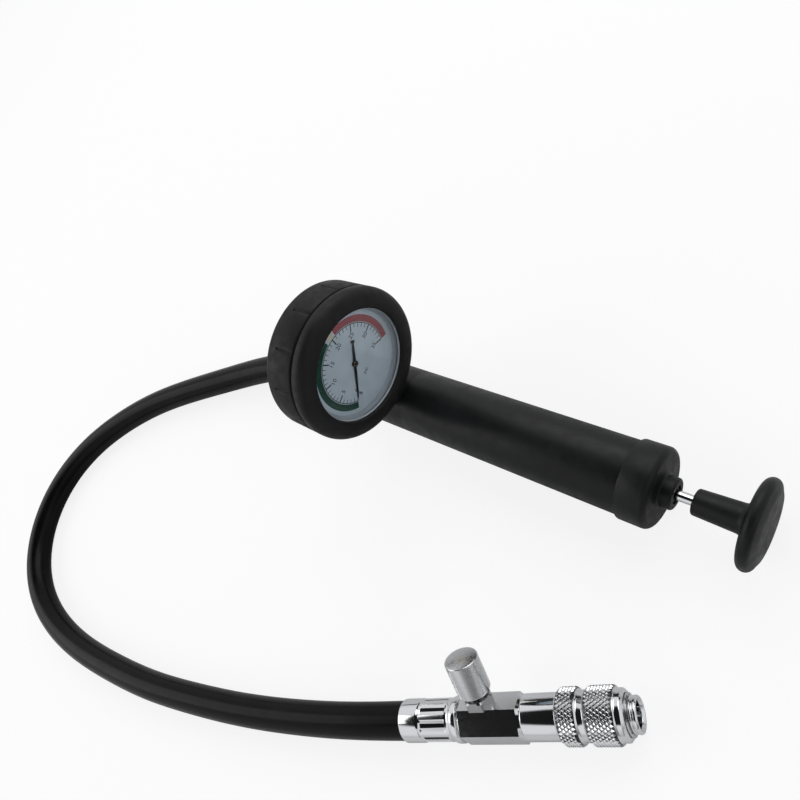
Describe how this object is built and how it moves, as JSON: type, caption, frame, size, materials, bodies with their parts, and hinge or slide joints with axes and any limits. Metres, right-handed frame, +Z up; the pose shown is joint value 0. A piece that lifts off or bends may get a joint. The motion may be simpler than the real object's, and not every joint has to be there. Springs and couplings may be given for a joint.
{
  "type": "radiator pressure tester",
  "caption": "Hand-pump cooling system pressure tester: plunger pump with a rubber-booted dial gauge, a free hose and a quick coupler with a pressure release valve.",
  "frame": {"origin": "on the resting surface, under the middle of the pump and gauge measured without the hose and the connector", "axes": "+X along the pump towards its handle, +Z up, the hose loop on the -Y side"},
  "size_m": [0.402, 0.2358, 0.0922],
  "materials": {
    "black_plastic": "moulded, slightly glossy",
    "black_rubber": "matte moulded rubber",
    "hose_rubber": "smooth extruded rubber",
    "chrome": "polished plating",
    "steel": "bright drawn steel",
    "brass": "turned brass",
    "aluminium": "anodised",
    "dial_print": "white enamel with printed scale",
    "needle_paint": "black enamel",
    "clear_lens": "clear",
    "bezel_steel": "black enamel"
  },
  "bodies": {
    "tester": {"pump_head": "black_plastic", "head_oring": "black_rubber", "check_seat": "brass", "check_ball": "steel", "check_spring": "steel", "barrel": "black_plastic", "end_cap": "black_plastic", "rod_bush": "brass", "gauge_stem": "brass", "gauge_boot": "black_rubber", "gauge_case": "steel", "gauge_bezel": "bezel_steel", "gauge_lens": "clear_lens", "gauge_dial": "dial_print", "stop_pin": "steel", "movement_plate": "brass", "bourdon_tube": "brass", "hose_barb": "brass", "barb_ferrule": "brass", "hose": "hose_rubber", "hose_ferrule": "chrome", "valve_block": "chrome", "relief_base": "chrome", "relief_spring": "steel", "coupler_body": "chrome", "coupler_socket": "chrome", "sleeve_spring": "steel", "locking_balls": "steel", "socket_oring": "black_rubber", "sleeve_clip": "steel"},
    "plunger": {"pump_rod": "chrome", "piston": "black_plastic", "piston_cup": "black_rubber", "piston_nut": "steel", "handle_knob": "black_plastic"},
    "needle": {"gauge_needle": "needle_paint", "needle_shaft": "brass"},
    "relief_button": {"relief_cap": "chrome", "relief_stem": "brass"},
    "sleeve": {"coupler_sleeve": "chrome"}
  },
  "joints": [
    {"name": "plunger_slide", "type": "slide", "parent": "tester", "child": "plunger", "axis": [1, 0, 0], "range_m": [-0.0055, 0.079]},
    {"name": "needle_turn", "type": "hinge", "parent": "tester", "child": "needle", "pos_m": [-0.05, 0, 0.0621], "axis": [-1, 0, 0], "range_deg": [0, 252]},
    {"name": "relief_press", "type": "slide", "parent": "tester", "child": "relief_button", "axis": [0.4059, -0.6496, -0.6428], "range_m": [0, 0.002], "stiffness_N_per_m": 1500, "springref_m": -0.001, "deforming": ["relief_spring"]},
    {"name": "sleeve_slide", "type": "slide", "parent": "tester", "child": "sleeve", "axis": [-0.848, -0.5299, 0], "range_m": [0, 0.0024], "stiffness_N_per_m": 1200, "springref_m": -0.001, "deforming": ["sleeve_spring"]}
  ]
}
